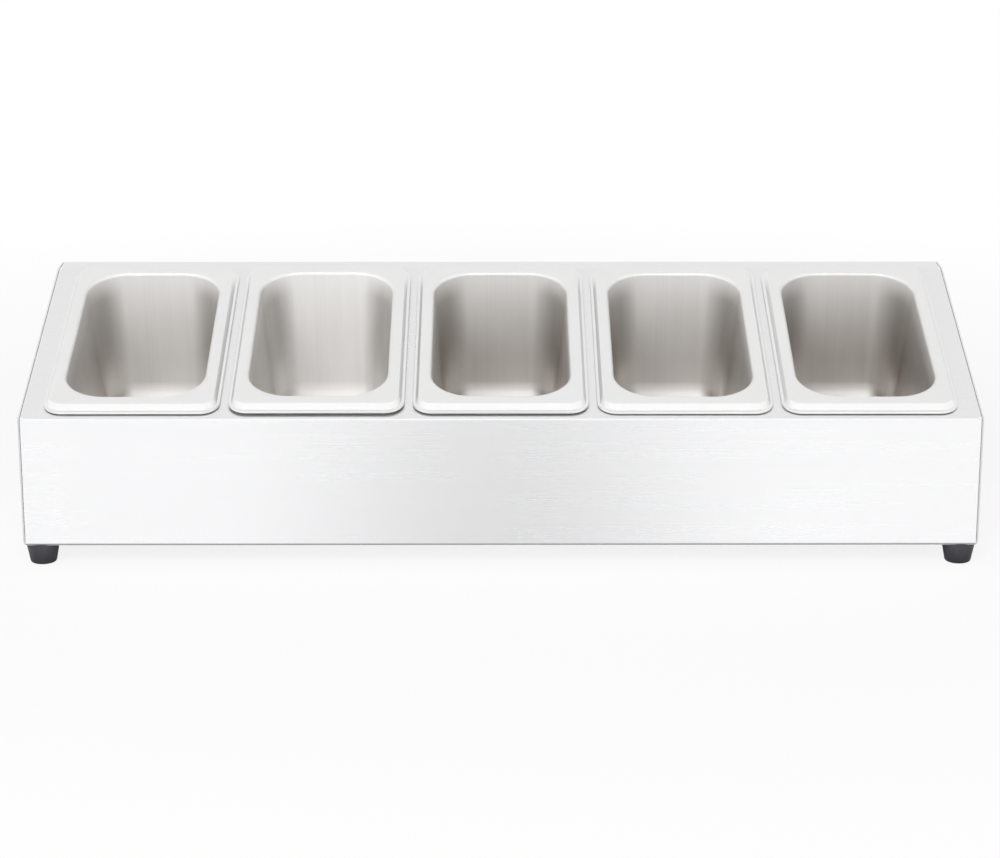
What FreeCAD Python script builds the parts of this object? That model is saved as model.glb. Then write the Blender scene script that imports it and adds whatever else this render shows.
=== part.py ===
import FreeCAD
import Part
import math
import os

# Countertop topping station: a folded stainless hood with a sloping deck, five
# lift-out gastronorm pans whose tapered walls seat in the deck's cut-outs, an end
# panel on each side and four rubber feet screwed to the end panels' flanges.
# Millimetres. +X runs along the station, +Y to its rear and +Z up. The origin is
# on the table, under the middle of the body.

# Pans: gastronorm size 1/9, 100 deep
pan_count = 5
pan_width = 108.0
pan_length = 176.0
pan_depth = 100.0
pan_wall = 0.8
pan_draft = 4.0
pan_corner_radius = 12.0
pan_opening_radius = 26.0
pan_floor_radius = 17.0
# Pan rim, from its outer edge inward
lip_width = 1.6
lip_height = 1.5
lip_edge_radius = 0.5
step_run = 2.0
step_rise = 4.0
step_edge_radius = 0.6
rim_flat_side = 4.9
rim_flat_end = 6.7
rim_bend_radius = 2.5

# Where the pans sit
pan_gap = 5.0
deck_front_margin = 3.5
deck_rear_margin = 4.5
end_margin = 14.0
cutout_clearance = 0.15
# How high the lip of each loose pan stands above the deck
pan_stands = [0.7, 1.3, 1.0, 0.6, 0.6]

# Body sheet
deck_angle = 17.4
sheet = 1.0
bend_radius = 2.0
end_edge_radius = 0.5
pan_floor_clearance = 2.2
pan_rear_clearance = 18.6
return_flange = 20.0
end_flange = 11.0
seam_gap = 0.15
relief_radius = 1.2
relief_depth = 1.8
foot_flange = 24.0
foot_flange_gap = 0.3
bend_relief = 3.0

# Feet and their fasteners
foot_height = 13.0
foot_top_radius = 10.4
foot_bottom_radius = 7.9
foot_edge_radius = 1.6
foot_rim_radius = 0.5
foot_inset = 10.4
foot_recess_radius = 4.9
foot_recess_depth = 6.4
screw_radius = 2.0
screw_clearance = 0.2
screw_head_radius = 3.8
screw_head_height = 2.4
screw_head_dome = 1.2
screw_tip = 1.2
washer_radius = 4.6
washer_thickness = 0.8
nut_flats = 7.0
nut_height = 3.2
nut_chamfer = 0.5
thread_gap = 0.05

# Every cut runs this far past the face that it goes through
overrun = 6.0
near = 0.001

Vector = FreeCAD.Vector
slope = math.radians(deck_angle)
draft = math.radians(pan_draft)

# Sizes that follow from the pans
rim_height = lip_height + step_rise
rim_side = lip_width + step_run + rim_flat_side + rim_bend_radius
rim_end = lip_width + step_run + rim_flat_end + rim_bend_radius
opening_width = pan_width - 2 * rim_side
opening_length = pan_length - 2 * rim_end
pan_bottom = rim_height - pan_depth
pan_outer_floor_radius = pan_floor_radius + pan_wall
cutout_growth = pan_wall - rim_height * math.tan(draft) + cutout_clearance
cutout_width = opening_width + 2 * cutout_growth
cutout_length = opening_length + 2 * cutout_growth
cutout_radius = pan_opening_radius + cutout_growth
pan_pitch = pan_width + pan_gap

# The deck just takes the pans; the front wall and the ledge just house them
deck_length = deck_front_margin + pan_length + deck_rear_margin
floor_bend_height = pan_bottom + pan_outer_floor_radius
wall_lean = (rim_height - floor_bend_height) * math.tan(draft)
floor_bend_inset = rim_end - pan_wall + wall_lean + pan_outer_floor_radius / math.cos(draft)
front_bend_along = deck_front_margin + floor_bend_inset
rear_bend_along = deck_front_margin + pan_length - floor_bend_inset
pan_low_point = (
    front_bend_along * math.sin(slope)
    + floor_bend_height * math.cos(slope)
    - pan_outer_floor_radius
)
pan_rear_point = (
    rear_bend_along * math.cos(slope)
    - floor_bend_height * math.sin(slope)
    + pan_outer_floor_radius
)

body_width = pan_count * pan_width + (pan_count - 1) * pan_gap + 2 * end_margin
hood_width = body_width - 2 * (sheet + seam_gap)
front_height = pan_floor_clearance - pan_low_point
deck_run = deck_length * math.cos(slope)
deck_rise = deck_length * math.sin(slope)
ledge_depth = pan_rear_point - deck_run + pan_rear_clearance + sheet
body_depth = deck_run + ledge_depth

base = foot_height
front = -body_depth / 2
rear = body_depth / 2
deck_front_height = base + front_height
ledge_height = deck_front_height + deck_rise


def rounded_wire(width, length, radius, height):
    """Closed outline of a rounded rectangle about the Z axis."""
    across = width / 2 - radius
    along = length / 2 - radius
    diagonal = radius * math.sqrt(2) / 2
    arcs = []
    for side_x, side_y in [(1, 1), (-1, 1), (-1, -1), (1, -1)]:
        middle = Vector(side_x * across, side_y * along, height)
        on_side = middle + Vector(side_x * radius, 0, 0)
        on_corner = middle + Vector(side_x * diagonal, side_y * diagonal, 0)
        on_end = middle + Vector(0, side_y * radius, 0)
        if side_x == side_y:
            arc = Part.Arc(on_side, on_corner, on_end)
        else:
            arc = Part.Arc(on_end, on_corner, on_side)
        arcs.append(arc.toShape())
    edges = []
    for number, arc in enumerate(arcs):
        following = arcs[(number + 1) % len(arcs)]
        edges.append(arc)
        edges.append(Part.makeLine(arc.Vertexes[-1].Point, following.Vertexes[0].Point))
    return Part.Wire(edges)


def rounded_block(width, length, radius, bottom, top):
    """Upright block of rounded-rectangle section."""
    face = Part.Face(rounded_wire(width, length, radius, bottom))
    return face.extrude(Vector(0, 0, top - bottom))


def tapered_block(lower, upper):
    """Solid between two rounded rectangles, each (width, length, radius, height)."""
    return Part.makeLoft([rounded_wire(*lower), rounded_wire(*upper)], True, True)


def ring_edges(shape, width, length, height):
    """Edges of the shape that lie on a rounded rectangle of that size and height."""
    found = []
    for edge in shape.Edges:
        box = edge.BoundBox
        if abs(box.ZMin - height) > near or abs(box.ZMax - height) > near:
            continue
        on_outline = True
        for vertex in edge.Vertexes:
            off_side = abs(abs(vertex.X) - width / 2)
            off_end = abs(abs(vertex.Y) - length / 2)
            if min(off_side, off_end) > near:
                on_outline = False
        if on_outline:
            found.append(edge)
    return found


def drafted_body(thickness):
    """Body of the pan, its walls this far outside the cavity and its floor bends rounded."""
    bottom = pan_bottom + pan_wall - thickness
    sizes = []
    for height in (bottom, rim_height + overrun):
        lean = (rim_height - height) * math.tan(draft)
        corner_radius = max(pan_opening_radius - lean, pan_outer_floor_radius)
        sizes.append((
            opening_width - 2 * lean + 2 * thickness,
            opening_length - 2 * lean + 2 * thickness,
            corner_radius + thickness,
            height,
        ))
    block = tapered_block(*sizes)
    width, length, corner_radius, height = sizes[0]
    return block.makeFillet(pan_floor_radius + thickness, ring_edges(block, width, length, height))


def rim_ring(inset, height):
    """Rounded rectangle parallel to the rim's outer edge, for a tapered block."""
    return pan_width - 2 * inset, pan_length - 2 * inset, pan_corner_radius - inset, height


def rim_edges(shape, inset, height):
    """Edges of the shape on a line parallel to the rim's outer edge."""
    return ring_edges(shape, pan_width - 2 * inset, pan_length - 2 * inset, height)


def make_rim():
    """Pressed rim before the pan's body joins it: outer lip, sloping step and flat top."""
    crest_inset = lip_width + step_run
    rim = rounded_block(pan_width, pan_length, pan_corner_radius, 0, lip_height)
    rim = rim.fuse(tapered_block(rim_ring(lip_width, lip_height), rim_ring(crest_inset, rim_height)))
    rim = rim.removeSplitter()
    rim = rim.makeFillet(lip_edge_radius, rim_edges(rim, 0, lip_height))
    step_edges = rim_edges(rim, lip_width, lip_height) + rim_edges(rim, crest_inset, rim_height)
    rim = rim.makeFillet(step_edge_radius, step_edges)
    # The underside follows the top at one wall's thickness
    step_angle = math.atan2(step_rise, step_run)
    step_offset = pan_wall * math.tan(step_angle / 2)
    under_lip = rounded_block(
        pan_width - 2 * pan_wall, pan_length - 2 * pan_wall, pan_corner_radius - pan_wall,
        -overrun, lip_height - pan_wall,
    )
    under_step = tapered_block(
        rim_ring(lip_width + step_offset, lip_height - pan_wall),
        rim_ring(crest_inset + step_offset, rim_height - pan_wall),
    )
    return rim.cut([under_lip, under_step])


def make_pan():
    """Deep-drawn pan about its own axis, the lower edge of its lip at height zero."""
    above = rounded_block(
        pan_width, pan_length, pan_corner_radius, rim_height, rim_height + 2 * overrun,
    )
    pan = make_rim().fuse(drafted_body(pan_wall).cut(above)).cut(drafted_body(0))
    pan = pan.removeSplitter()
    mouth = ring_edges(pan, opening_width, opening_length, rim_height)
    pan = pan.makeFillet(rim_bend_radius, mouth)
    # Under the rim the wall is a little further in, by its lean over one thickness
    throat_growth = 2 * pan_wall - 2 * pan_wall * math.tan(draft)
    throat = ring_edges(
        pan, opening_width + throat_growth, opening_length + throat_growth, rim_height - pan_wall,
    )
    return pan.makeFillet(rim_bend_radius - pan_wall, throat)


def deck_place(across, along, stand):
    """Placement that lays a piece on the deck, some way up the slope and standing off its face."""
    spot = Vector(
        across,
        front + along * math.cos(slope) - stand * math.sin(slope),
        deck_front_height + along * math.sin(slope) + stand * math.cos(slope),
    )
    return FreeCAD.Placement(spot, FreeCAD.Rotation(Vector(1, 0, 0), deck_angle))


def pan_centre(number):
    """Middle of a pan across the station and up the slope."""
    across = (number - (pan_count - 1) / 2) * pan_pitch
    return across, deck_front_margin + pan_length / 2


def side_points(drop):
    """Corners of the body's side view, its lower edge let down by the drop."""
    return [
        Vector(0, front, base - drop),
        Vector(0, front, deck_front_height),
        Vector(0, front + deck_run, ledge_height),
        Vector(0, rear, ledge_height),
        Vector(0, rear, base - drop),
    ]


def side_wire(inset, drop):
    """Outline of the side view, moved inward by the inset."""
    points = side_points(drop)
    wire = Part.makePolygon(points + points[:1])
    if inset:
        wire = wire.makeOffset2D(-inset, 2)
    return wire


def side_block(inset, drop, start, end):
    """Prism of the side view between two places across the station."""
    block = Part.Face(side_wire(inset, drop)).extrude(Vector(end - start, 0, 0))
    block.translate(Vector(start, 0, 0))
    return block


def span_box(x_range, y_range, z_range):
    """Box between pairs of coordinates."""
    low = Vector(x_range[0], y_range[0], z_range[0])
    size = Vector(x_range[1], y_range[1], z_range[1]) - low
    return Part.makeBox(size.x, size.y, size.z, low)


def bend_edges(block):
    """Edges of a prism of the side view that run across the station."""
    return [edge for edge in block.Edges if edge.BoundBox.XLength > near]


def end_edges(block):
    """Edges round the two ends of a prism of the side view."""
    return [edge for edge in block.Edges if edge.BoundBox.XLength <= near]


def make_hood():
    """Folded sheet: front, deck with cut-outs, ledge, back and return flanges."""
    half = hood_width / 2
    outer = side_block(0, 0, -half, half)
    outer = outer.makeFillet(bend_radius, bend_edges(outer))
    outer = outer.makeFillet(end_edge_radius, end_edges(outer))
    inner = side_block(sheet, 0, sheet - half, half - sheet)
    inner = inner.makeFillet(bend_radius - sheet, bend_edges(inner))
    hood = outer.cut(inner)

    tools = []
    for number in range(pan_count):
        across, along = pan_centre(number)
        tool = rounded_block(cutout_width, cutout_length, cutout_radius, -overrun, overrun)
        tool.Placement = deck_place(across, along, 0)
        tools.append(tool)
    # End windows leave a flange behind the front, the deck, the ledge and the back
    window_drop = end_flange + overrun
    tools.append(side_block(end_flange, window_drop, -half - overrun, half + overrun))
    # Underside, open between the front and rear return flanges
    tools.append(span_box(
        (-half - overrun, half + overrun),
        (front + return_flange, rear - return_flange),
        (base - overrun, base + overrun),
    ))
    for side in (-1, 1):
        # Room for the end panel's foot flange, and a relief hole at each upper corner
        reach = sorted([side * (half + overrun), side * (half - foot_flange)])
        tools.append(span_box(
            reach,
            (front + sheet, rear - sheet),
            (base - overrun, base + overrun),
        ))
        for corner in side_points(0)[1:4]:
            spot = Vector(side * (half - relief_depth), corner.y, corner.z)
            tools.append(Part.makeCylinder(
                relief_radius, relief_depth + overrun, spot, Vector(side, 0, 0),
            ))
    return hood.cut(tools).removeSplitter()


def foot_spots(side):
    """Centres of the front and the rear foot at one end, at table height."""
    across = side * (body_width / 2 - foot_inset)
    return [Vector(across, front + foot_inset, 0), Vector(across, rear - foot_inset, 0)]


def make_end_panel(side):
    """Flat end panel with a flange turned in along its lower edge."""
    outside = body_width / 2
    panel = side_block(0, 0, outside - sheet, outside)
    corner_edges = []
    for edge in panel.Edges:
        along_x = abs(edge.tangentAt(edge.FirstParameter).x) > 1 - near
        if along_x and edge.BoundBox.ZMin > base + near:
            corner_edges.append(edge)
    panel = panel.makeFillet(bend_radius, corner_edges)
    flange_front = front + sheet + foot_flange_gap
    flange_rear = rear - sheet - foot_flange_gap
    flange = span_box(
        (outside - foot_flange, outside),
        (flange_front, flange_rear),
        (base, base + sheet),
    )
    for corner_range in ((front - overrun, flange_front), (flange_rear, rear + overrun)):
        panel = panel.cut(span_box(
            (outside - overrun, outside + overrun),
            corner_range,
            (base - overrun, base + bend_relief),
        ))
    panel = panel.fuse(flange).removeSplitter()
    outer_bend = []
    inner_bend = []
    for edge in panel.Edges:
        box = edge.BoundBox
        if box.YLength < body_depth / 2 or box.ZLength > near or box.XLength > near:
            continue
        if abs(box.XMin - outside) < near and abs(box.ZMin - base) < near:
            outer_bend.append(edge)
        if abs(box.XMin - outside + sheet) < near and abs(box.ZMin - base - sheet) < near:
            inner_bend.append(edge)
    panel = panel.makeFillet(bend_radius - sheet, inner_bend)
    panel = panel.makeFillet(bend_radius, [match_edge(panel, edge) for edge in outer_bend])
    for spot in foot_spots(1):
        hole = Part.makeCylinder(
            screw_radius + screw_clearance, sheet + 2 * overrun, spot + Vector(0, 0, base - overrun),
        )
        panel = panel.cut(hole)
    if side < 0:
        panel = panel.mirror(Vector(0, 0, 0), Vector(1, 0, 0))
    return panel


def match_edge(shape, wanted):
    """The edge of the shape that has the same middle as the wanted one."""
    middle = wanted.CenterOfMass
    return min(shape.Edges, key=lambda edge: (edge.CenterOfMass - middle).Length)


def ring_at(shape, height):
    """The widest round edge of the shape at a height."""
    rings = []
    for edge in shape.Edges:
        box = edge.BoundBox
        if abs(box.ZMin - height) < near and abs(box.ZMax - height) < near:
            rings.append(edge)
    return max(rings, key=lambda edge: edge.BoundBox.XLength)


def make_foot():
    """Tapered rubber foot, recessed from below for the screw head."""
    foot = Part.makeCone(foot_bottom_radius, foot_top_radius, foot_height)
    foot = foot.makeFillet(foot_edge_radius, [ring_at(foot, 0)])
    foot = foot.makeFillet(foot_rim_radius, [ring_at(foot, foot_height)])
    recess = Part.makeCylinder(foot_recess_radius, foot_recess_depth + overrun, Vector(0, 0, -overrun))
    hole = Part.makeCylinder(screw_radius + screw_clearance, foot_height + overrun)
    return foot.cut([recess, hole])


def make_washer():
    """Plain washer at the top of the foot's recess."""
    bottom = foot_recess_depth - washer_thickness
    washer = Part.makeCylinder(washer_radius, washer_thickness, Vector(0, 0, bottom))
    hole = Part.makeCylinder(screw_radius + screw_clearance, washer_thickness + 2 * overrun,
                             Vector(0, 0, bottom - overrun))
    return washer.cut(hole)


def make_screw():
    """Pan-head screw, its head down in the foot's recess."""
    head_top = foot_recess_depth - washer_thickness
    head_bottom = head_top - screw_head_height
    head = Part.makeCylinder(screw_head_radius, screw_head_height, Vector(0, 0, head_bottom))
    head = head.makeFillet(screw_head_dome, [ring_at(head, head_bottom)])
    tip = base + sheet + nut_height + screw_tip
    shank = Part.makeCylinder(screw_radius, tip - head_top, Vector(0, 0, head_top))
    return head.fuse(shank)


def make_nut():
    """Hexagon nut on the foot flange, chamfered on its upper corners."""
    bottom = base + sheet
    reach = nut_flats / math.sqrt(3)
    corners = []
    for turn in range(6):
        angle = math.radians(60 * turn)
        corners.append(Vector(reach * math.cos(angle), reach * math.sin(angle), bottom))
    corners.append(corners[0])
    nut = Part.Face(Part.makePolygon(corners)).extrude(Vector(0, 0, nut_height))
    cap_radius = reach + nut_height - nut_chamfer
    cap = Part.makeCone(cap_radius, cap_radius - nut_height, nut_height, Vector(0, 0, bottom))
    hole = Part.makeCylinder(screw_radius + thread_gap, nut_height + 2 * overrun,
                             Vector(0, 0, bottom - overrun))
    return nut.common(cap).cut(hole)


def repeat_at_feet(piece):
    """Copies of a foot's piece at all four feet, as one group of solids."""
    copies = []
    for side in (-1, 1):
        for spot in foot_spots(side):
            copy = piece.copy()
            copy.translate(spot)
            copies.append(copy)
    return Part.makeCompound(copies)


def main():
    """Builds every piece in its place and writes one file for each."""
    nodes = {
        "hood": make_hood(),
        "end_panel_left": make_end_panel(-1),
        "end_panel_right": make_end_panel(1),
    }
    pan = make_pan()
    for number in range(pan_count):
        across, along = pan_centre(number)
        placed = pan.copy()
        placed.Placement = deck_place(across, along, pan_stands[number % len(pan_stands)])
        nodes["pan_" + str(number + 1)] = placed
    foot = make_foot()
    for side, side_name in ((-1, "left"), (1, "right")):
        for spot, end_name in zip(foot_spots(side), ("front", "rear")):
            placed = foot.copy()
            placed.translate(spot)
            nodes["foot_" + end_name + "_" + side_name] = placed
    nodes["foot_screws"] = repeat_at_feet(make_screw())
    nodes["foot_washers"] = repeat_at_feet(make_washer())
    nodes["foot_nuts"] = repeat_at_feet(make_nut())
    os.makedirs("parts", exist_ok=True)
    for name, shape in nodes.items():
        shape.exportStep("parts/" + name + ".step")


if __name__ == "__main__":
    main()
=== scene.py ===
import math

import bpy
from mathutils import Matrix, Vector


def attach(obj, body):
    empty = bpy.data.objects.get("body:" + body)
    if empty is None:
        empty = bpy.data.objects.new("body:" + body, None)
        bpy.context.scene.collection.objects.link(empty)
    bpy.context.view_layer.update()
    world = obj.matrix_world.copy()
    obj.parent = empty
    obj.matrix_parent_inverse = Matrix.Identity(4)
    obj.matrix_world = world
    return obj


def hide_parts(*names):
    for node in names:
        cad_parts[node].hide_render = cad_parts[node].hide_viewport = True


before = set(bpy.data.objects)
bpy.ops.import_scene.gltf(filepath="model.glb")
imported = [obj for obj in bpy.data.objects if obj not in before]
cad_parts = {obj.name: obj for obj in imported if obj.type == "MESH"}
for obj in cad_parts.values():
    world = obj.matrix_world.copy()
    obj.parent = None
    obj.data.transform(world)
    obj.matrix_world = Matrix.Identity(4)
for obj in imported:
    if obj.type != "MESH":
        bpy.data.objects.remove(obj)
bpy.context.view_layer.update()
mm = 0.001
unit = (0.0, 1.0)


# small helpers for node trees
def feed(tree, socket, value):
    if isinstance(value, bpy.types.NodeSocket):
        tree.links.new(value, socket)
    else:
        socket.default_value = value


def putNode(tree, kind, inputs=None, **settings):
    made = tree.nodes.new(kind)
    for name, value in settings.items():
        setattr(made, name, value)
    for key, value in (inputs or {}).items():
        feed(tree, made.inputs[key], value)
    return made


def calc(tree, operation, *values):
    made = putNode(tree, "ShaderNodeMath", dict(enumerate(values)), operation=operation)
    return made.outputs[0]


def split(tree, vector):
    return putNode(tree, "ShaderNodeSeparateXYZ", {"Vector": vector}).outputs


def join(tree, **parts):
    return putNode(tree, "ShaderNodeCombineXYZ", parts).outputs[0]


def clamp(tree, value):
    return putNode(tree, "ShaderNodeClamp", {"Value": value}).outputs[0]


def remap(tree, value, fromBand, toBand, ease="LINEAR"):
    made = putNode(tree, "ShaderNodeMapRange", {
        "Value": value, "From Min": fromBand[0], "From Max": fromBand[1],
        "To Min": toBand[0], "To Max": toBand[1]}, interpolation_type=ease)
    return made.outputs["Result"]


def mixColour(tree, share, first, second, how="MIX"):
    made = putNode(tree, "ShaderNodeMix", {
        "Factor": share, "A": first, "B": second}, data_type="RGBA", blend_type=how)
    return made.outputs["Result"]


def stretchedNoise(tree, coords, stretch, detail, roughness):
    mapping = putNode(tree, "ShaderNodeMapping", {"Vector": coords, "Scale": stretch})
    noise = putNode(tree, "ShaderNodeTexNoise", {
        "Vector": mapping.outputs["Vector"], "Scale": 1.0,
        "Detail": detail, "Roughness": roughness})
    return noise.outputs["Fac"]


def evenNoise(tree, coords, scale, detail, roughness):
    return stretchedNoise(tree, coords, (scale, scale, scale), detail, roughness)


def addNoises(tree, noises, shares, spread):
    # adds noises by their shares and spreads the sum over 0 to 1
    parts = [calc(tree, "MULTIPLY", noise, share) for noise, share in zip(noises, shares)]
    total = parts[0]
    for part in parts[1:]:
        total = calc(tree, "ADD", total, part)
    return remap(tree, total, spread, unit)


def bump(tree, height, strength, distance, base=None):
    made = putNode(tree, "ShaderNodeBump", {
        "Strength": strength, "Distance": distance, "Height": height})
    if base is not None:
        feed(tree, made.inputs["Normal"], base)
    return made.outputs["Normal"]


def newFinish(name):
    finish = bpy.data.materials.new(name)
    finish.use_nodes = True
    tree = finish.node_tree
    return finish, tree, tree.nodes["Principled BSDF"]


def setShader(tree, shader, inputs):
    for name, value in inputs.items():
        feed(tree, shader.inputs[name], value)


def showPiece(piece):
    bpy.context.scene.collection.objects.link(piece)


# camera, room, lamps and floor
photoView = {
    "place": (-0.0046, -1.6952, 0.5341),
    "pitchDown": 15.624,
    "yaw": -0.145,
    "lens": 98.03,
    "sensor": 36.0,
}


def placeCamera(look):
    lens = bpy.data.cameras.new("photoCamera")
    lens.lens = look["lens"]
    lens.sensor_fit = "HORIZONTAL"
    lens.sensor_width = look["sensor"]
    camera = bpy.data.objects.new("photoCamera", lens)
    camera.location = look["place"]
    camera.rotation_euler = (math.radians(90 - look["pitchDown"]), 0, math.radians(look["yaw"]))
    showPiece(camera)
    bpy.context.scene.camera = camera


studio = {
    "white": (1, 1, 1, 1),
    "roomLight": 0.16,
    "skyRear": 0.87,              # how white the steel sees the room high up at the rear
    "highBand": (0.05, 0.35),
    "rearBand": (-0.3, 0.4),
    "skyAbove": 0.78,             # and overhead, a little to the front
    "aboveTowards": (0, -0.34, 0.94),
    "aboveBand": (0.82, 0.95),
    "floorSize": 24.0,
    "floorColour": (0.96, 0.96, 0.96, 1),
    "floorSeen": 0.85,            # share of the floor's white that takes no shadow near the object
    "floorBand": (0.35, 1.0),     # metres from the middle, over which that share grows to all
    "footprint": (0.299, 0.104),  # the steel mirrors the shaded floor within, the white one beyond
    "footprintFade": 0.024,
    "mirrorSides": 1.0,           # white of the mirrored floor towards the ends, and in the middle
    "mirrorMiddle": 0.69,
    "mirrorBand": (0.0, 0.2),
    "lamps": [
        # name, place, aim, width, height, watts
        ("cameraSoftbox", (-0.35, -2.5, 1.4), (0, 0, 0.1), 2.2, 2.0, 92.0),
        ("leftSoftbox", (-2.2, -0.6, 1.3), (0, 0, 0.08), 1.2, 1.2, 5.0),
        ("rightSoftbox", (2.2, -0.4, 1.3), (0, 0, 0.08), 1.2, 1.2, 5.0),
    ],
}


def paintRoom(look):
    # white all round for the eye; for the steel a little greyer at the rear and overhead
    world = bpy.data.worlds.new("studioRoom")
    world.use_nodes = True
    bpy.context.scene.world = world
    tree = world.node_tree
    tree.nodes.clear()
    towards = tree.nodes.new("ShaderNodeTexCoord").outputs["Generated"]
    way = split(tree, towards)
    rear = calc(tree, "MULTIPLY", remap(tree, way["Z"], look["highBand"], unit),
                remap(tree, way["Y"], look["rearBand"], unit))
    above = putNode(tree, "ShaderNodeVectorMath", {
        0: towards, 1: look["aboveTowards"]}, operation="DOT_PRODUCT").outputs["Value"]
    dimmed = calc(tree, "MULTIPLY", remap(tree, rear, unit, (1.0, look["skyRear"])),
                  remap(tree, above, look["aboveBand"], (1.0, look["skyAbove"])))
    paths = tree.nodes.new("ShaderNodeLightPath").outputs
    eye, steel = paths["Is Camera Ray"], paths["Is Glossy Ray"]
    seen = putNode(tree, "ShaderNodeBackground", {
        "Color": look["white"], "Strength": calc(tree, "MAXIMUM", dimmed, eye)})
    room = putNode(tree, "ShaderNodeBackground", {
        "Color": look["white"], "Strength": look["roomLight"]})
    pick = putNode(tree, "ShaderNodeMixShader", {
        0: calc(tree, "MAXIMUM", eye, steel), 1: room.outputs[0], 2: seen.outputs[0]})
    putNode(tree, "ShaderNodeOutputWorld", {"Surface": pick.outputs[0]})


def hangLamps(look):
    for name, place, aim, width, height, watts in look["lamps"]:
        lamp = bpy.data.lights.new(name, "AREA")
        lamp.shape = "RECTANGLE"
        lamp.size = width
        lamp.size_y = height
        lamp.energy = watts
        holder = bpy.data.objects.new(name, lamp)
        holder.location = place
        aimed = (Vector(aim) - Vector(place)).to_track_quat("-Z", "Y")
        holder.rotation_euler = aimed.to_euler()
        # bright steel mirrors the white room, never the lamp itself
        holder.visible_glossy = False
        showPiece(holder)


def whitePaper(look):
    # the eye sees white paper with a faint shadow; the steel mirrors it greyer in the middle
    paper, tree, shader = newFinish("whitePaper")
    tree.nodes.remove(shader)
    matte = putNode(tree, "ShaderNodeBsdfDiffuse", {"Color": look["floorColour"]})
    spot = tree.nodes.new("ShaderNodeTexCoord").outputs["Object"]
    reach = putNode(tree, "ShaderNodeVectorMath", {0: spot}, operation="LENGTH").outputs["Value"]
    seen = remap(tree, reach, look["floorBand"], (look["floorSeen"], 1.0))
    place = split(tree, spot)
    across, deep = calc(tree, "ABSOLUTE", place["X"]), calc(tree, "ABSOLUTE", place["Y"])
    past = []
    for distance, edge in zip((across, deep), look["footprint"]):
        past.append(remap(tree, distance, (edge, edge + look["footprintFade"]), unit))
    beyond = calc(tree, "MAXIMUM", *past)
    mirrored = remap(tree, across, look["mirrorBand"],
                     (look["mirrorMiddle"], look["mirrorSides"]), "SMOOTHSTEP")
    paths = tree.nodes.new("ShaderNodeLightPath").outputs
    eye, steel = paths["Is Camera Ray"], paths["Is Glossy Ray"]
    glow = putNode(tree, "ShaderNodeEmission", {
        "Color": look["white"], "Strength": remap(tree, eye, unit, (mirrored, 1.0))})
    share = calc(tree, "MAXIMUM", calc(tree, "MULTIPLY", eye, seen),
                 calc(tree, "MULTIPLY", steel, beyond))
    both = putNode(tree, "ShaderNodeMixShader", {
        0: share, 1: matte.outputs[0], 2: glow.outputs[0]})
    feed(tree, tree.nodes["Material Output"].inputs["Surface"], both.outputs[0])
    return paper


def layFloor(look):
    half = look["floorSize"] / 2
    corners = [(-half, -half, 0), (half, -half, 0), (half, half, 0), (-half, half, 0)]
    sheet = bpy.data.meshes.new("paperFloor")
    sheet.from_pydata(corners, [], [(0, 1, 2, 3)])
    sheet.materials.append(whitePaper(look))
    floor = bpy.data.objects.new("paperFloor", sheet)
    showPiece(floor)


bpy.context.scene.view_settings.view_transform = "Standard"
placeCamera(photoView)
paintRoom(studio)
hangLamps(studio)
layFloor(studio)
print("camera, floor and", len(studio["lamps"]), "softboxes set")


# folded body: hood and end panels keep their CAD shape
sheetLook = {
    "pale": (0.916, 0.916, 0.926, 1),
    "dull": (0.9, 0.9, 0.91, 1),
    "roughness": (0.26, 0.31),
    "metal": 0.84,                 # the rest is the brushing's matt scatter
    "grainAcross": 2400.0,         # brush lines per metre, across the brushing and along it
    "grainAlong": 14.0,
    "streaksAcross": 240.0,        # wider, fainter streaks of the same brushing
    "streaksAlong": 3.5,
    "cloud": 14.0,
    "shares": (0.25, 0.4, 0.35),   # of grain, streaks and cloud in the shade
    "spread": (0.34, 0.66),
    "wobble": 6.0,                 # slow unevenness of the sheet, per metre
    "waves": (0.08, 0.004),        # strength and height of the unevenness
    "lines": (0.05, 0.0001),       # and of the brush lines
    "paintedUnderShade": (0.40, 0.40, 0.41, 1),  # painted shade on faces turned down, the underside and the bottom bend
    "underBand": (-0.05, -0.5),
    "cutEdge": (0.68, 0.68, 0.69, 1),   # the sheared front edge of an end panel
    "edgeTurn": 0.5,
    "edgeBand": (-0.5, -0.9),
    "edgeRougher": 0.2,
}


def brushStretch(axis, across, along):
    stretch = [across] * 3
    stretch[axis] = along
    return stretch


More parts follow.
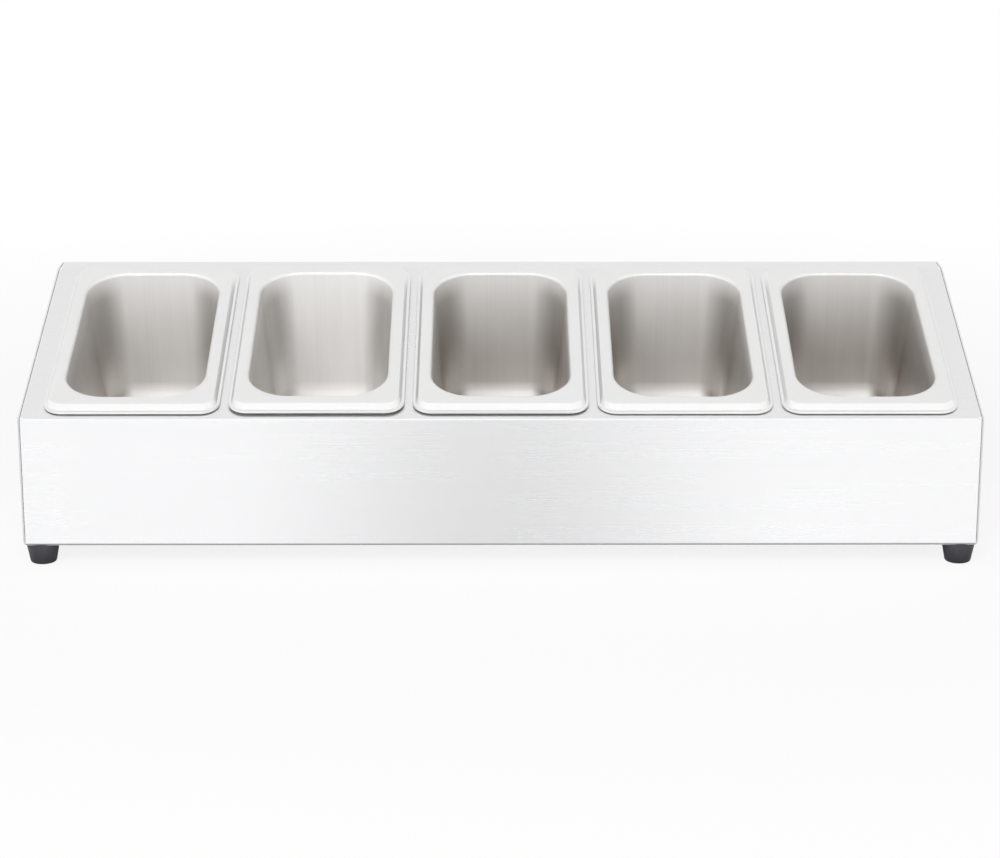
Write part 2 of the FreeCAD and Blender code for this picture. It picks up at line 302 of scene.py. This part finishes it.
def brushedSheet(name, look, axis, edged):
    finish, tree, shader = newFinish(name)
    coords = tree.nodes.new("ShaderNodeTexCoord").outputs["Object"]
    grainStretch = brushStretch(axis, look["grainAcross"], look["grainAlong"])
    grain = stretchedNoise(tree, coords, grainStretch, detail=2.0, roughness=0.6)
    streakStretch = brushStretch(axis, look["streaksAcross"], look["streaksAlong"])
    streaks = stretchedNoise(tree, coords, streakStretch, detail=3.0, roughness=0.6)
    cloud = evenNoise(tree, coords, look["cloud"], detail=3.0, roughness=0.55)
    slow = evenNoise(tree, coords, look["wobble"], detail=1.0, roughness=0.4)
    shade = addNoises(tree, (grain, streaks, cloud), look["shares"], look["spread"])
    smoothest, roughest = look["roughness"]
    rough = remap(tree, shade, unit, (roughest, smoothest))
    ways = tree.nodes.new("ShaderNodeNewGeometry").outputs
    # painted shade: faces turned down are painted dark
    under = remap(tree, split(tree, ways["Normal"])["Z"], look["underBand"], unit)
    colour = mixColour(tree, shade, look["dull"], look["pale"])
    colour = mixColour(tree, under, colour, look["paintedUnderShade"])
    if edged:
        # the sheared edge of the sheet is greyer and duller than its brushed face
        facing = split(tree, ways["True Normal"])
        edge = calc(tree, "LESS_THAN", calc(tree, "ABSOLUTE", facing["X"]), look["edgeTurn"])
        edge = calc(tree, "MULTIPLY", edge, remap(tree, facing["Y"], look["edgeBand"], unit))
        colour = mixColour(tree, edge, colour, look["cutEdge"])
        rough = calc(tree, "MULTIPLY_ADD", edge, look["edgeRougher"], rough)
    waves = bump(tree, slow, *look["waves"])
    lines = bump(tree, grain, *look["lines"], base=waves)
    setShader(tree, shader, {
        "Base Color": colour, "Roughness": rough, "Metallic": look["metal"], "Normal": lines})
    return finish


def wearFinish(names, finish):
    for name in names:
        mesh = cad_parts[name].data
        mesh.materials.clear()
        mesh.materials.append(finish)


wearFinish(["hood"], brushedSheet("hoodSteel", sheetLook, 0, False))
wearFinish(["end_panel_left", "end_panel_right"], brushedSheet("endPanelSteel", sheetLook, 1, True))
print("body sheets finished")


# helpers for shapes that carry a profile round, shared by pans and screws
def turnCorner(points, corner, before, after, radius, steps):
    # rounds the corner between two directions of the profile (inset, height)
    before = Vector(before).normalized()
    after = Vector(after).normalized()
    corner = Vector(corner)
    reach = radius * math.tan(before.angle(after) / 2)
    centre = corner + (after - before).normalized() * math.hypot(reach, radius)
    first = corner - before * reach - centre
    last = corner + after * reach - centre
    for step in range(steps + 1):
        arm = first.slerp(last, step / steps).normalized() * radius
        points.append(centre + arm)


def profileLine(name, rings):
    # each ring: inset from the sides, inset from the ends, height, corner radius
    line = bpy.data.curves.new(name, "CURVE")
    line.dimensions = "3D"
    strand = line.splines.new("POLY")
    strand.points.add(len(rings) - 1)
    for point, (side, end, height, radius) in zip(strand.points, rings):
        point.co = (side * mm, end * mm, height * mm, 1)
        point.radius = radius * mm
    holder = bpy.data.objects.new(name, line)
    showPiece(holder)
    return holder


def openTree(name, lengths, counts):
    # a tree that is given a profile, a finish, lengths and counts
    tree = bpy.data.node_groups.new(name, "GeometryNodeTree")
    face = tree.interface
    face.new_socket("Geometry", in_out="OUTPUT", socket_type="NodeSocketGeometry")
    kinds = [("Geometry", "Geometry"), ("Profile", "Object"), ("Finish", "Material")]
    kinds += [(length, "Float") for length in lengths]
    kinds += [(count, "Int") for count in counts]
    for given, kind in kinds:
        face.new_socket(given, in_out="INPUT", socket_type="NodeSocket" + kind)
    return tree, tree.nodes.new("NodeGroupInput").outputs


def ringGrid(tree, given):
    # a grid whose columns go once round and whose rows follow the profile's points
    grid = putNode(tree, "GeometryNodeMeshGrid", {
        "Size X": 1.0, "Size Y": 1.0,
        "Vertices X": calc(tree, "ADD", given["Around"], 1), "Vertices Y": given["Rings"]})
    spot = split(tree, tree.nodes.new("GeometryNodeInputPosition").outputs[0])
    turn = calc(tree, "ADD", spot["X"], 0.5)
    lastRing = calc(tree, "SUBTRACT", given["Rings"], 1)
    row = calc(tree, "MULTIPLY", calc(tree, "ADD", spot["Y"], 0.5), lastRing)
    return grid.outputs["Mesh"], turn, row


def readProfile(tree, given, ring, field, kind):
    line = putNode(tree, "GeometryNodeObjectInfo", {"Object": given["Profile"]})
    read = putNode(tree, "GeometryNodeSampleIndex", {
        "Geometry": line.outputs["Geometry"], "Index": ring,
        "Value": tree.nodes.new(field).outputs[0]}, data_type=kind)
    return read.outputs["Value"]


def shapeGrid(tree, grid, place, joinWithin):
    shaped = putNode(tree, "GeometryNodeSetPosition", {"Geometry": grid, "Position": place})
    closed = putNode(tree, "GeometryNodeMergeByDistance", {
        "Geometry": shaped.outputs[0], "Distance": joinWithin})
    return closed.outputs[0]


def smoothShape(tree, shape):
    smooth = putNode(tree, "GeometryNodeSetShadeSmooth", {"Geometry": shape, "Shade Smooth": True})
    return smooth.outputs[0]


def closeTree(tree, given, shape):
    real = putNode(tree, "GeometryNodeRealizeInstances", {"Geometry": shape})
    dressed = putNode(tree, "GeometryNodeSetMaterial", {
        "Geometry": real.outputs[0], "Material": given["Finish"]})
    putNode(tree, "NodeGroupOutput", {"Geometry": dressed.outputs[0]})
    return tree


def bakeTree(name, tree, values):
    # runs a node tree once and gives back its result as a plain mesh
    blank = bpy.data.objects.new(name, bpy.data.meshes.new(name))
    showPiece(blank)
    modifier = blank.modifiers.new("shape", "NODES")
    modifier.node_group = tree
    for item in tree.interface.items_tree:
        if item.in_out == "INPUT" and item.name in values:
            modifier[item.identifier] = values[item.name]
    graph = bpy.context.evaluated_depsgraph_get()
    mesh = bpy.data.meshes.new_from_object(
        blank.evaluated_get(graph), preserve_all_data_layers=True, depsgraph=graph)
    blank.modifiers.remove(modifier)
    bpy.data.objects.remove(blank)
    mesh.name = name
    return mesh


# pressed pans: one profile carried round a rounded rectangle
panSizes = {
    "width": 108.0, "length": 176.0, "cornerRadius": 12.0,
    "rimHeight": 5.5, "wall": 0.8, "depth": 100.0, "draft": 4.0,
    "lipWidth": 1.6, "lipHeight": 1.5, "lipRound": 0.5, "lipFoot": 0.25,
    "stepRun": 2.0, "stepRise": 4.0, "stepRound": 0.6,
    "rimSide": 11.0, "rimEnd": 12.8, "mouthBend": 2.5,
    "mouthRadius": 26.0, "floorBend": 17.0,
    "around": 128,           # points round the rim, a multiple of 16
    "wallRings": (0.03, 0.25, 0.5, 0.75, 0.97),  # rows down the wall, across the floor, and below
    "floorRings": (0.06, 0.4, 0.75, 1.0),
    "bottomRings": (1.0, 0.6, 0.06),
    "joinWithin": 0.00001,
    "chartWidth": 0.4,       # metres of drawn marks once round the rim
}

panPlaces = {
    "pitch": 113.0, "deckAngle": 17.4, "front": -98.8299, "deckFront": 94.5003,
    "along": 91.5, "stands": [0.7, 1.3, 1.0, 0.6, 0.6],  # each lip's height above the deck
}


def panProfile(size):
    # from the lip's outer foot over the rim, down the cavity, and back up the outside
    draft = math.radians(size["draft"])
    lean = math.tan(draft)
    down = Vector((math.sin(draft), -math.cos(draft)))
    inward, up = Vector((1, 0)), Vector((0, 1))
    wall, middle = size["wall"], size["width"] / 2
    lipTop, flatTop = size["lipHeight"], size["rimHeight"]
    crest = size["lipWidth"] + size["stepRun"]
    climb = Vector((size["stepRun"], size["stepRise"]))
    underShift = wall * math.tan(math.atan2(size["stepRise"], size["stepRun"]) / 2)
    cavityFloor = flatTop - size["depth"] + wall
    bottom = cavityFloor - wall
    wallFoot = size["rimSide"] + (flatTop - cavityFloor) * lean
    outerFoot = size["rimSide"] - wall + (flatTop - bottom) * lean
    throat = size["rimSide"] - wall + wall * lean
    outerBend = size["floorBend"] + wall
    bendReach = math.tan((math.pi / 2 - draft) / 2)  # of a bend from wall to floor, per radius

    rim = [Vector((0, 0)), Vector((0, size["lipFoot"]))]
    turnCorner(rim, (0, lipTop), up, inward, size["lipRound"], steps=4)
    turnCorner(rim, (size["lipWidth"], lipTop), inward, climb, size["stepRound"], steps=4)
    turnCorner(rim, (crest, flatTop), climb, inward, size["stepRound"], steps=5)

    cavity = []
    turnCorner(cavity, (size["rimSide"], flatTop), inward, down, size["mouthBend"], steps=10)
    wallRing = len(rim) + len(cavity)
    top = cavity[-1]
    foot = Vector((wallFoot, cavityFloor)) - down * size["floorBend"] * bendReach
    for share in size["wallRings"]:
        cavity.append(top.lerp(foot, share))
    turnCorner(cavity, (wallFoot, cavityFloor), down, inward, size["floorBend"], steps=14)
    floorEdge = cavity[-1].x
    for share in size["floorRings"]:
        cavity.append(Vector((floorEdge + (middle - floorEdge) * share, cavityFloor)))

    outside = []
    bottomEdge = outerFoot + outerBend * bendReach
    for share in size["bottomRings"]:
        outside.append(Vector((bottomEdge + (middle - bottomEdge) * share, bottom)))
    turnCorner(outside, (outerFoot, bottom), -inward, -down, outerBend, steps=10)
    turnCorner(outside, (throat, flatTop - wall), -down, -inward, size["mouthBend"] - wall, steps=6)

    underRim = [
        Vector((crest + underShift, flatTop - wall)),
        Vector((size["lipWidth"] + underShift, lipTop - wall)),
        Vector((wall, lipTop - wall)),
        Vector((wall, 0)),
        Vector((0, 0)),
    ]

    def rimRings(points):
        return [(point.x, point.x, point.y, size["cornerRadius"] - point.x) for point in points]

    longer = size["rimEnd"] - size["rimSide"]
    rings = rimRings(rim)
    for point in cavity + outside:
        radius = max(size["mouthRadius"] + size["rimSide"] - point.x, 0.0)
        rings.append((point.x, point.x + longer, point.y, min(radius, middle - point.x)))
    rings += rimRings(underRim)
    marks = {"bend": len(rim), "wall": wallRing, "floor": len(rim) + len(cavity) - 1}
    return rings, marks


def panTree(size):
    tree, given = openTree("pressedPan", ("Width", "Length"), (
        "Around", "Rings", "Bend Ring", "Wall Ring", "Floor Ring"))
    grid, turn, row = ringGrid(tree, given)
    ring = calc(tree, "ROUND", row)
    inset = split(tree, readProfile(tree, given, ring, "GeometryNodeInputPosition", "FLOAT_VECTOR"))
    radius = readProfile(tree, given, ring, "GeometryNodeInputRadius", "FLOAT")
    halfWide = calc(tree, "SUBTRACT", calc(tree, "MULTIPLY", given["Width"], 0.5), inset["X"])
    halfLong = calc(tree, "SUBTRACT", calc(tree, "MULTIPLY", given["Length"], 0.5), inset["Y"])

    # a quarter of each turn on the straights, half on the corner
    quarter = calc(tree, "PINGPONG", calc(tree, "MULTIPLY", turn, 4.0), 1.0)
    bend = clamp(tree, calc(tree, "MULTIPLY_ADD", quarter, 2.0, -0.5))
    angle = calc(tree, "MULTIPLY", bend, math.pi / 2)
    onEnd = clamp(tree, calc(tree, "MULTIPLY_ADD", quarter, -4.0, 4.0))
    onSide = clamp(tree, calc(tree, "MULTIPLY", quarter, 4.0))
    across = calc(tree, "MULTIPLY_ADD", calc(tree, "SUBTRACT", halfWide, radius), onEnd,
                  calc(tree, "MULTIPLY", radius, calc(tree, "COSINE", angle)))
    along = calc(tree, "MULTIPLY_ADD", calc(tree, "SUBTRACT", halfLong, radius), onSide,
                 calc(tree, "MULTIPLY", radius, calc(tree, "SINE", angle)))
    whole = calc(tree, "MULTIPLY", turn, 2 * math.pi)
    place = join(
        tree, X=calc(tree, "MULTIPLY", across, calc(tree, "SIGN", calc(tree, "COSINE", whole))),
        Y=calc(tree, "MULTIPLY", along, calc(tree, "SIGN", calc(tree, "SINE", whole))),
        Z=inset["Z"])

    # the floor's upper and lower skins stay apart in the middle
    floorEnd = calc(tree, "ADD", given["Floor Ring"], 0.5)
    between = calc(tree, "COMPARE", row, floorEnd, 0.25)
    parted = putNode(tree, "GeometryNodeDeleteGeometry", {
        "Geometry": grid, "Selection": between}, domain="FACE", mode="EDGE_FACE").outputs[0]

    # what the finish reads: the way round and down, how far inside the cavity, and the outside
    within = calc(tree, "LESS_THAN", ring, floorEnd)
    toWall = remap(tree, ring, (given["Bend Ring"], given["Wall Ring"]), unit)
    wayRound = join(tree, X=calc(tree, "MULTIPLY", turn, size["chartWidth"]), Y=inset["Z"])
    marked = putNode(tree, "GeometryNodeStoreNamedAttribute", {
        "Geometry": parted, "Name": "UVMap", "Value": wayRound},
        data_type="FLOAT2", domain="CORNER").outputs[0]
    for name, value in (("cavity", calc(tree, "MULTIPLY", toWall, within)),
                        ("outside", calc(tree, "SUBTRACT", 1.0, within))):
        marked = putNode(tree, "GeometryNodeStoreNamedAttribute", {
            "Geometry": marked, "Name": name, "Value": value},
            data_type="FLOAT", domain="POINT").outputs[0]
    closed = shapeGrid(tree, marked, place, size["joinWithin"])
    return closeTree(tree, given, smoothShape(tree, closed))


panLook = {
    "rimPale": (0.955, 0.955, 0.95, 1),
    "rimDull": (0.925, 0.925, 0.92, 1),
    "rimRoughness": (0.27, 0.35),
    "rimMetal": 0.90,
    "outsidePale": (0.84, 0.835, 0.825, 1),
    "outsideDull": (0.76, 0.755, 0.745, 1),
    # the inside is a duller satin steel, and painted darker too, as the shade inside the cavity
    "insidePale": (0.83, 0.82, 0.805, 1),
    "insideDull": (0.77, 0.76, 0.745, 1),
    "insideRoughness": (0.42, 0.52),
    "streaks": (260, 6, 1),           # draw marks down the walls, and wider bands of them
    "bands": (42, 3, 1),
    "cloud": 26.0,
    "shares": (0.35, 0.35, 0.3),      # of streaks, bands and cloud in the shade
    "spread": (0.34, 0.66),
    "swell": (0.10, 0.002),           # strength and height of the sheet's unevenness
    "marks": (0.06, 0.0002),          # and of the draw marks
    "satin": [0.8, 1.3, 0.35, 0.5, 0.2],  # how much more matt each pan is; it also weakens the painted deep shade on its walls
    "satinMost": 1.3,
    "satinScatter": (0.26, 0.5),      # what it adds to the scatter at the mouth and at the floor
    "deep": (0.76, 0.72, 0.69, 1),    # painted shade: what the colour is multiplied by low on the walls
    "deepShadeBand": (0.0, -0.055),        # bands are metres above the lip's foot
    "deepShadeLeast": 0.1,
    "paintedLongWallShade": (0.80, 0.79, 0.78, 1),   # painted shade multiplied into the long walls
    "longWalls": 0.12,                # their scatter, as a share of that of the short ones
    "sideBand": (0.2, 0.9),
    "mouthBand": (0.004, -0.010),
    "bend": (0.97, 0.96, 0.945, 1),   # painted highlight: the bend into the floor is painted paler
    "bendHighlightBand": (-0.075, -0.083),
    "bendSides": (0.0, 0.5),
    "bendLeast": 0.1,
    "polish": 0.75,                   # roughness near the floor, as a share of that at the mouth
    "polishBand": (0.0, -0.075),
    "scatter": (0.60, 0.08),          # share of matt scatter at the mouth and low on the walls
    "scatterBand": (0.0, -0.07),
    "bendScatter": 0.9,
}


def drawnSteel(look):
    finish, tree, shader = newFinish("panSteel")
    coords = tree.nodes.new("ShaderNodeTexCoord").outputs
    marked = {}
    for name in ("cavity", "satin", "outside"):
        marked[name] = putNode(tree, "ShaderNodeAttribute", attribute_name=name).outputs["Fac"]
    inside, satin = marked["cavity"], marked["satin"]
    down = split(tree, coords["UV"])["Y"]
    depth = remap(tree, down, look["polishBand"], unit)

    streaks = stretchedNoise(tree, coords["UV"], look["streaks"], detail=3.0, roughness=0.6)
    bands = stretchedNoise(tree, coords["UV"], look["bands"], detail=2.0, roughness=0.5)
    cloud = evenNoise(tree, coords["Object"], look["cloud"], detail=3.0, roughness=0.55)
    shade = addNoises(tree, (streaks, bands, cloud), look["shares"], look["spread"])
    rim = mixColour(tree, shade, look["rimDull"], look["rimPale"])
    outer = mixColour(tree, shade, look["outsideDull"], look["outsidePale"])
    rim = mixColour(tree, marked["outside"], rim, outer)
    wall = mixColour(tree, shade, look["insideDull"], look["insidePale"])
    # painted shade: darker low on the walls, weaker on the more matt pans
    low = calc(tree, "MULTIPLY", remap(tree, down, look["deepShadeBand"], unit),
               remap(tree, satin, (0.0, look["satinMost"]), (1.0, look["deepShadeLeast"])))
    wall = mixColour(tree, low, wall, look["deep"], "MULTIPLY")

    # the long walls are drawn brighter, so they mirror each other and scatter less, and their
    # colour is darkened as painted shade
    facing = split(tree, tree.nodes.new("ShaderNodeNewGeometry").outputs["Normal"])
    sides = remap(tree, calc(tree, "ABSOLUTE", facing["X"]), look["sideBand"], unit)
    sides = calc(tree, "MULTIPLY", sides, remap(tree, down, look["mouthBand"], unit))
    wall = mixColour(tree, sides, wall, look["paintedLongWallShade"], "MULTIPLY")
    # painted highlight along the bend into the floor, weaker on the long walls
    bend = calc(tree, "MULTIPLY", remap(tree, down, look["bendHighlightBand"], unit),
                remap(tree, sides, look["bendSides"], (1.0, look["bendLeast"])))
    wall = mixColour(tree, bend, wall, look["bend"])

    rimRough = remap(tree, shade, unit, look["rimRoughness"][::-1])
    wallRough = remap(tree, shade, unit, look["insideRoughness"][::-1])
    rough = remap(tree, inside, unit, (rimRough, wallRough))
    worn = remap(tree, calc(tree, "MULTIPLY", depth, inside), unit, (1.0, look["polish"]))
    scatter = remap(tree, down, look["scatterBand"], look["scatter"])
    matter = remap(tree, depth, unit, look["satinScatter"])
    scatter = calc(tree, "MULTIPLY_ADD", satin, matter, scatter)
    scatter = calc(tree, "MULTIPLY", scatter, remap(tree, sides, unit, (1.0, look["longWalls"])))
    scatter = remap(tree, bend, unit, (scatter, look["bendScatter"]))
    metal = remap(tree, inside, unit, (look["rimMetal"], calc(tree, "SUBTRACT", 1.0, scatter)))
    swell = bump(tree, cloud, *look["swell"])
    setShader(tree, shader, {
        "Base Color": mixColour(tree, inside, rim, wall),
        "Roughness": calc(tree, "MULTIPLY", rough, worn),
        "Metallic": metal,
        "Normal": bump(tree, streaks, *look["marks"], base=swell)})
    return finish


def layPans(size, places, look):
    rings, marks = panProfile(size)
    line = profileLine("panProfile", rings)
    pressed = bakeTree("pan", panTree(size), {
        "Profile": line, "Finish": drawnSteel(look),
        "Width": size["width"] * mm, "Length": size["length"] * mm,
        "Around": size["around"], "Rings": len(rings),
        "Bend Ring": marks["bend"], "Wall Ring": marks["wall"], "Floor Ring": marks["floor"]})
    bpy.data.objects.remove(line)
    tilt = math.radians(places["deckAngle"])
    middlePan = len(places["stands"]) // 2
    for number, stand in enumerate(places["stands"]):
        spot = Vector((
            (number - middlePan) * places["pitch"],
            places["front"] + places["along"] * math.cos(tilt) - stand * math.sin(tilt),
            places["deckFront"] + places["along"] * math.sin(tilt) + stand * math.cos(tilt)))
        mesh = pressed.copy()
        mesh.transform(Matrix.Translation(spot * mm) @ Matrix.Rotation(tilt, 4, "X"))
        matt = mesh.attributes.new("satin", "FLOAT", "POINT")
        matt.data.foreach_set("value", [look["satin"][number]] * len(mesh.vertices))
        pan = bpy.data.objects.new("pressedPan" + str(number + 1), mesh)
        showPiece(pan)
        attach(pan, "pan_" + str(number + 1) + "_body")
        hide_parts("pan_" + str(number + 1))
    print("pans pressed:", len(places["stands"]), "with", len(pressed.polygons), "faces each")


layPans(panSizes, panPlaces, panLook)


# feet, washers and nuts keep their CAD shape; the screws get a thread and a drive
rubberLook = {
    "dark": (0.014, 0.014, 0.017, 1),
    "pale": (0.050, 0.049, 0.057, 1),
    "roughness": (0.38, 0.52),
    "shine": 0.28,
    "pores": 2600.0,
    "dots": (0.25, 0.0001),       # strength and height of the pores
    "scuffs": (160, 160, 60),
    "scuffBand": (0.3, 0.6),
    "scuffShare": (0.6, 1.0),
    "paintedShadeBand": (0.002, 0.011),    # metres above the floor; painted shading, darker low down and lighter high up
    "paintedShadeShare": (0.3, 1.0),
}


def mouldedRubber(look):
    finish, tree, shader = newFinish("footRubber")
    coords = tree.nodes.new("ShaderNodeTexCoord").outputs["Object"]
    pores = evenNoise(tree, coords, look["pores"], detail=2.0, roughness=0.6)
    scuffs = stretchedNoise(tree, coords, look["scuffs"], detail=4.0, roughness=0.6)
    height = split(tree, coords)["Z"]
    # painted shading, darker low down, mixed with the scuffs
    share = calc(tree, "MULTIPLY", remap(tree, scuffs, look["scuffBand"], look["scuffShare"]),
                 remap(tree, height, look["paintedShadeBand"], look["paintedShadeShare"]))
    setShader(tree, shader, {
        "Base Color": mixColour(tree, share, look["dark"], look["pale"]),
        "Roughness": remap(tree, share, unit, look["roughness"]),
        "Specular IOR Level": look["shine"],
        "Normal": bump(tree, pores, *look["dots"])})
    return finish


fastenerLook = {
    "bright": (0.74, 0.75, 0.76, 1),
    "grey": (0.58, 0.59, 0.60, 1),
    "roughness": (0.42, 0.28),
    "flecks": 900.0,
    "fleckBand": (0.35, 0.65),
}


def turnedSteel(look):
    finish, tree, shader = newFinish("fastenerSteel")
    coords = tree.nodes.new("ShaderNodeTexCoord").outputs["Object"]
    flecks = evenNoise(tree, coords, look["flecks"], detail=3.0, roughness=0.6)
    share = remap(tree, flecks, look["fleckBand"], unit)
    setShader(tree, shader, {
        "Base Color": mixColour(tree, share, look["grey"], look["bright"]),
        "Roughness": remap(tree, share, unit, look["roughness"]),
        "Metallic": 1.0})
    return finish


screwSizes = {
    "across": 567.2, "deep": 176.86,  # spacing of the four feet
    "headRadius": 3.8, "headLow": 3.2, "headHigh": 5.6, "dome": 1.2, "headFlat": 1.2,
    "shankRadius": 2.0, "tip": 18.4, "threadFrom": 13.0, "pitch": 0.7, "threadDepth": 0.2,
    "ringsPerTurn": 8,
    "recessLong": 4.2, "recessWide": 1.0, "recessDeep": 1.2,
    "around": 32,
    "joinWithin": 0.000005,
    "crispFrom": 0.6,                 # edges that turn more than this, in radians, stay sharp
}


def screwProfile(size):
    # from the middle of the head's underside up to the middle of the tip
    points = [Vector((0, size["headLow"])), Vector((size["headFlat"], size["headLow"]))]
    turnCorner(points, (size["headRadius"], size["headLow"]), (1, 0), (0, 1), size["dome"], steps=6)
    points.append(Vector((size["headRadius"], size["headHigh"])))
    points.append(Vector((size["shankRadius"], size["headHigh"])))
    rise = size["tip"] - size["threadFrom"]
    steps = round(rise / size["pitch"] * size["ringsPerTurn"])
    for step in range(steps + 1):
        points.append(Vector((size["shankRadius"], size["threadFrom"] + rise * step / steps)))
    points.append(Vector((0, size["tip"])))
    return [(point.x, 0, point.y, 1) for point in points]


def screwTree(size):
    tree, given = openTree("crossScrew", (
        "Across", "Deep", "Head Low", "Thread From", "Pitch", "Thread Depth",
        "Recess Long", "Recess Wide", "Recess Deep"), ("Around", "Rings"))
    grid, turn, row = ringGrid(tree, given)
    ring = calc(tree, "ROUND", row)
    line = split(tree, readProfile(tree, given, ring, "GeometryNodeInputPosition", "FLOAT_VECTOR"))

    # the thread is a groove that climbs one pitch each turn; the tip's middle stays whole
    climb = calc(tree, "ADD", calc(tree, "DIVIDE", line["Z"], given["Pitch"]), turn)
    groove = calc(tree, "MULTIPLY", calc(tree, "PINGPONG", climb, 0.5), 2.0)
    threaded = calc(tree, "MULTIPLY", calc(tree, "GREATER_THAN", line["Z"], given["Thread From"]),
                    calc(tree, "GREATER_THAN", line["X"], 0.0001))
    cut = calc(tree, "MULTIPLY", calc(tree, "MULTIPLY", groove, threaded), given["Thread Depth"])
    radius = calc(tree, "SUBTRACT", line["X"], cut)
    angle = calc(tree, "MULTIPLY", turn, 2 * math.pi)
    place = join(
        tree, X=calc(tree, "MULTIPLY", radius, calc(tree, "COSINE", angle)),
        Y=calc(tree, "MULTIPLY", radius, calc(tree, "SINE", angle)), Z=line["Z"])
    screw = shapeGrid(tree, grid, place, size["joinWithin"])

    # two crossed bars, the second a little shallower, sink the drive into the head
    for long, wide, share in (("Recess Long", "Recess Wide", 2.0),
                              ("Recess Wide", "Recess Long", 1.8)):
        tall = calc(tree, "MULTIPLY", given["Recess Deep"], share)
        bar = putNode(tree, "GeometryNodeMeshCube", {
            "Size": join(tree, X=given[long], Y=given[wide], Z=tall)})
        placed = putNode(tree, "GeometryNodeTransform", {
            "Geometry": bar.outputs["Mesh"], "Translation": join(tree, Z=given["Head Low"])})
        recess = putNode(tree, "GeometryNodeMeshBoolean", {
            "Mesh 1": screw, "Mesh 2": placed.outputs[0]}, operation="DIFFERENCE")
        screw = recess.outputs["Mesh"]

    bend = tree.nodes.new("GeometryNodeInputMeshEdgeAngle").outputs["Unsigned Angle"]
    crisp = putNode(tree, "GeometryNodeSetShadeSmooth", {
        "Geometry": smoothShape(tree, screw), "Shade Smooth": False,
        "Selection": calc(tree, "GREATER_THAN", bend, size["crispFrom"])}, domain="EDGE")
    feet = putNode(tree, "GeometryNodeMeshGrid", {
        "Size X": given["Across"], "Size Y": given["Deep"], "Vertices X": 2, "Vertices Y": 2})
    copies = putNode(tree, "GeometryNodeInstanceOnPoints", {
        "Points": feet.outputs["Mesh"], "Instance": crisp.outputs[0]})
    return closeTree(tree, given, copies.outputs[0])


def driveScrews(size, finish):
    rings = screwProfile(size)
    line = profileLine("screwProfile", rings)
    mesh = bakeTree("footScrews", screwTree(size), {
        "Profile": line, "Finish": finish, "Around": size["around"], "Rings": len(rings),
        "Across": size["across"] * mm, "Deep": size["deep"] * mm,
        "Head Low": size["headLow"] * mm, "Thread From": size["threadFrom"] * mm,
        "Pitch": size["pitch"] * mm, "Thread Depth": size["threadDepth"] * mm,
        "Recess Long": size["recessLong"] * mm, "Recess Wide": size["recessWide"] * mm,
        "Recess Deep": size["recessDeep"] * mm})
    bpy.data.objects.remove(line)
    screws = bpy.data.objects.new("footScrews", mesh)
    showPiece(screws)
    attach(screws, "station_body")
    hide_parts("foot_screws")
    print("screws driven:", len(mesh.polygons), "faces")


fastenerSteel = turnedSteel(fastenerLook)
wearFinish(["foot_front_left", "foot_front_right", "foot_rear_left", "foot_rear_right"],
           mouldedRubber(rubberLook))
wearFinish(["foot_washers", "foot_nuts"], fastenerSteel)
driveScrews(screwSizes, fastenerSteel)
print("feet and fasteners finished")
